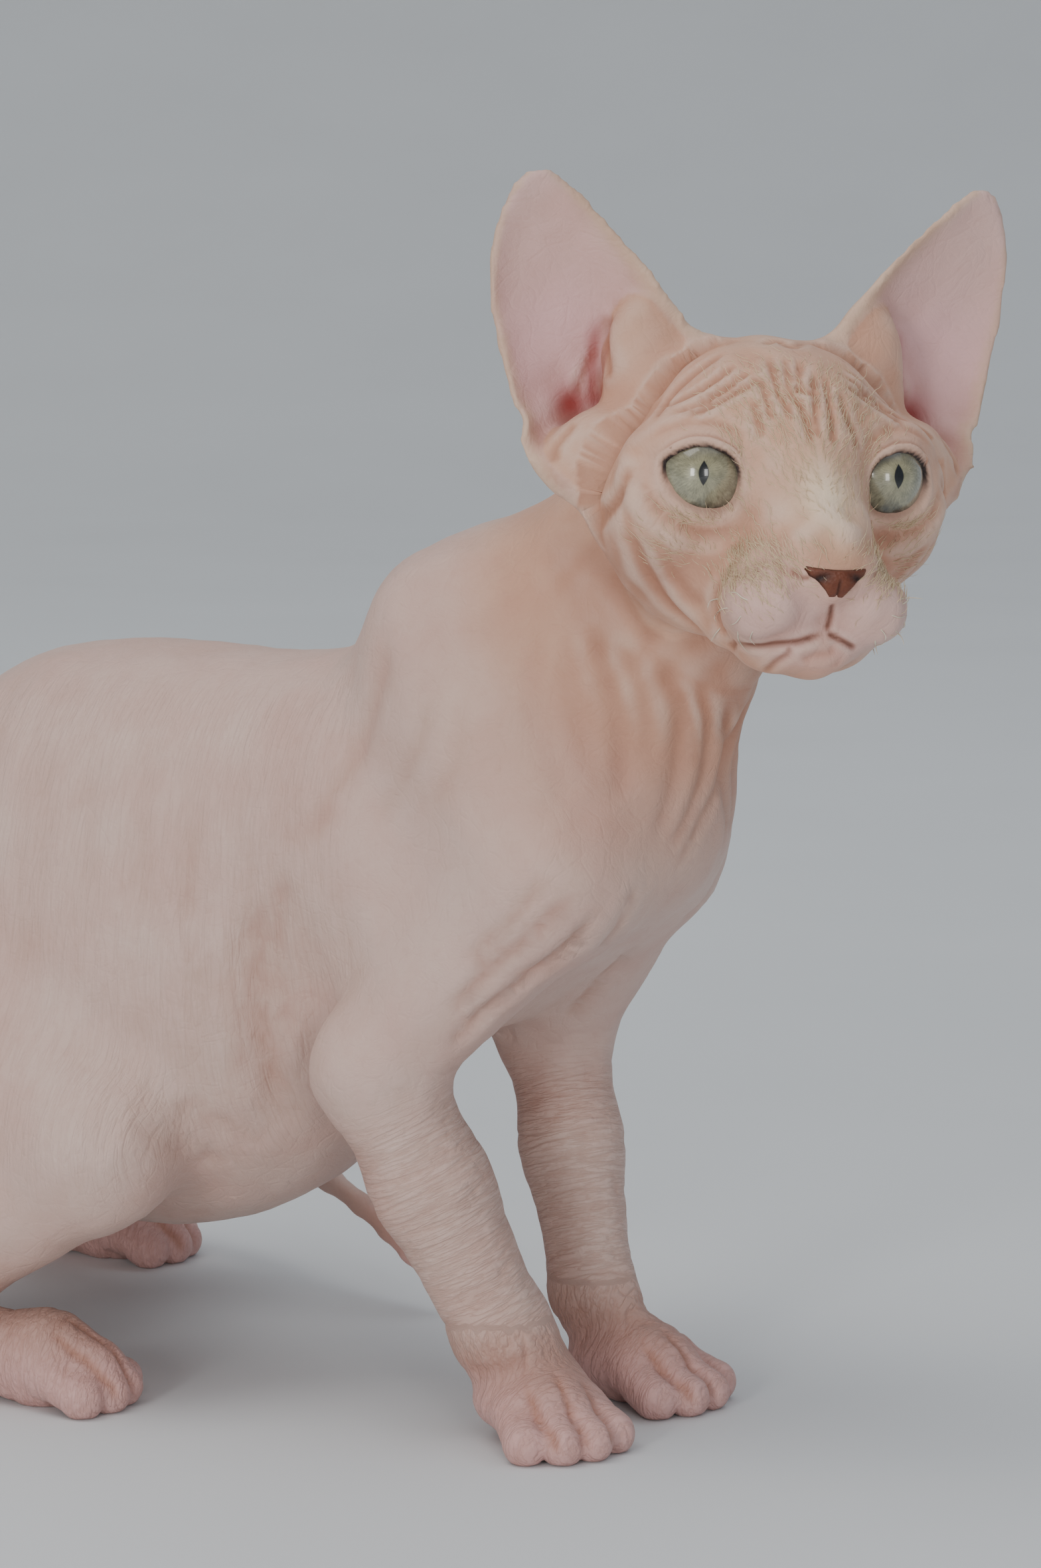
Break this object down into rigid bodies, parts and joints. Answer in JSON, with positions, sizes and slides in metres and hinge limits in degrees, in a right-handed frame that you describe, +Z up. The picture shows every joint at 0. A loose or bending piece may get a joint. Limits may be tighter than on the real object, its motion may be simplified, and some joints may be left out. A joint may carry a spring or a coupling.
{
  "type": "sphynx kitten",
  "caption": "Hairless cat with very large ears and wrinkled pinkish skin, half crouched on four paws with its head turned to its right",
  "frame": {"origin": "centre of the bounding box's bottom face, on the floor", "axes": "+X forward along the body, +Y to the cat's left, +Z up"},
  "size_m": [0.3228, 0.15, 0.2607],
  "materials": {
    "skin": "bare, matt, finely wrinkled skin",
    "ear_skin": "thin, slightly see-through bare skin, deeper pink inside",
    "eye": "wet clear cornea over a pale grey-green iris with an upright slit pupil",
    "nose_leather": "finely pebbled, slightly moist, brown-red"
  },
  "bodies": {
    "root": {"head": "skin", "neck": "skin", "torso": "skin", "upper_arm_right": "skin", "upper_arm_left": "skin", "forearm_right": "skin", "forearm_left": "skin", "forepaw_right": "skin", "forepaw_left": "skin", "thigh_right": "skin", "thigh_left": "skin", "shank_right": "skin", "shank_left": "skin", "hind_foot_right": "skin", "hind_foot_left": "skin", "tail_root": "skin", "tail_middle": "skin", "tail_tip": "skin", "ear_right": "ear_skin", "ear_left": "ear_skin", "eye_right": "eye", "eye_left": "eye", "nose": "nose_leather"}
  },
  "joints": []
}
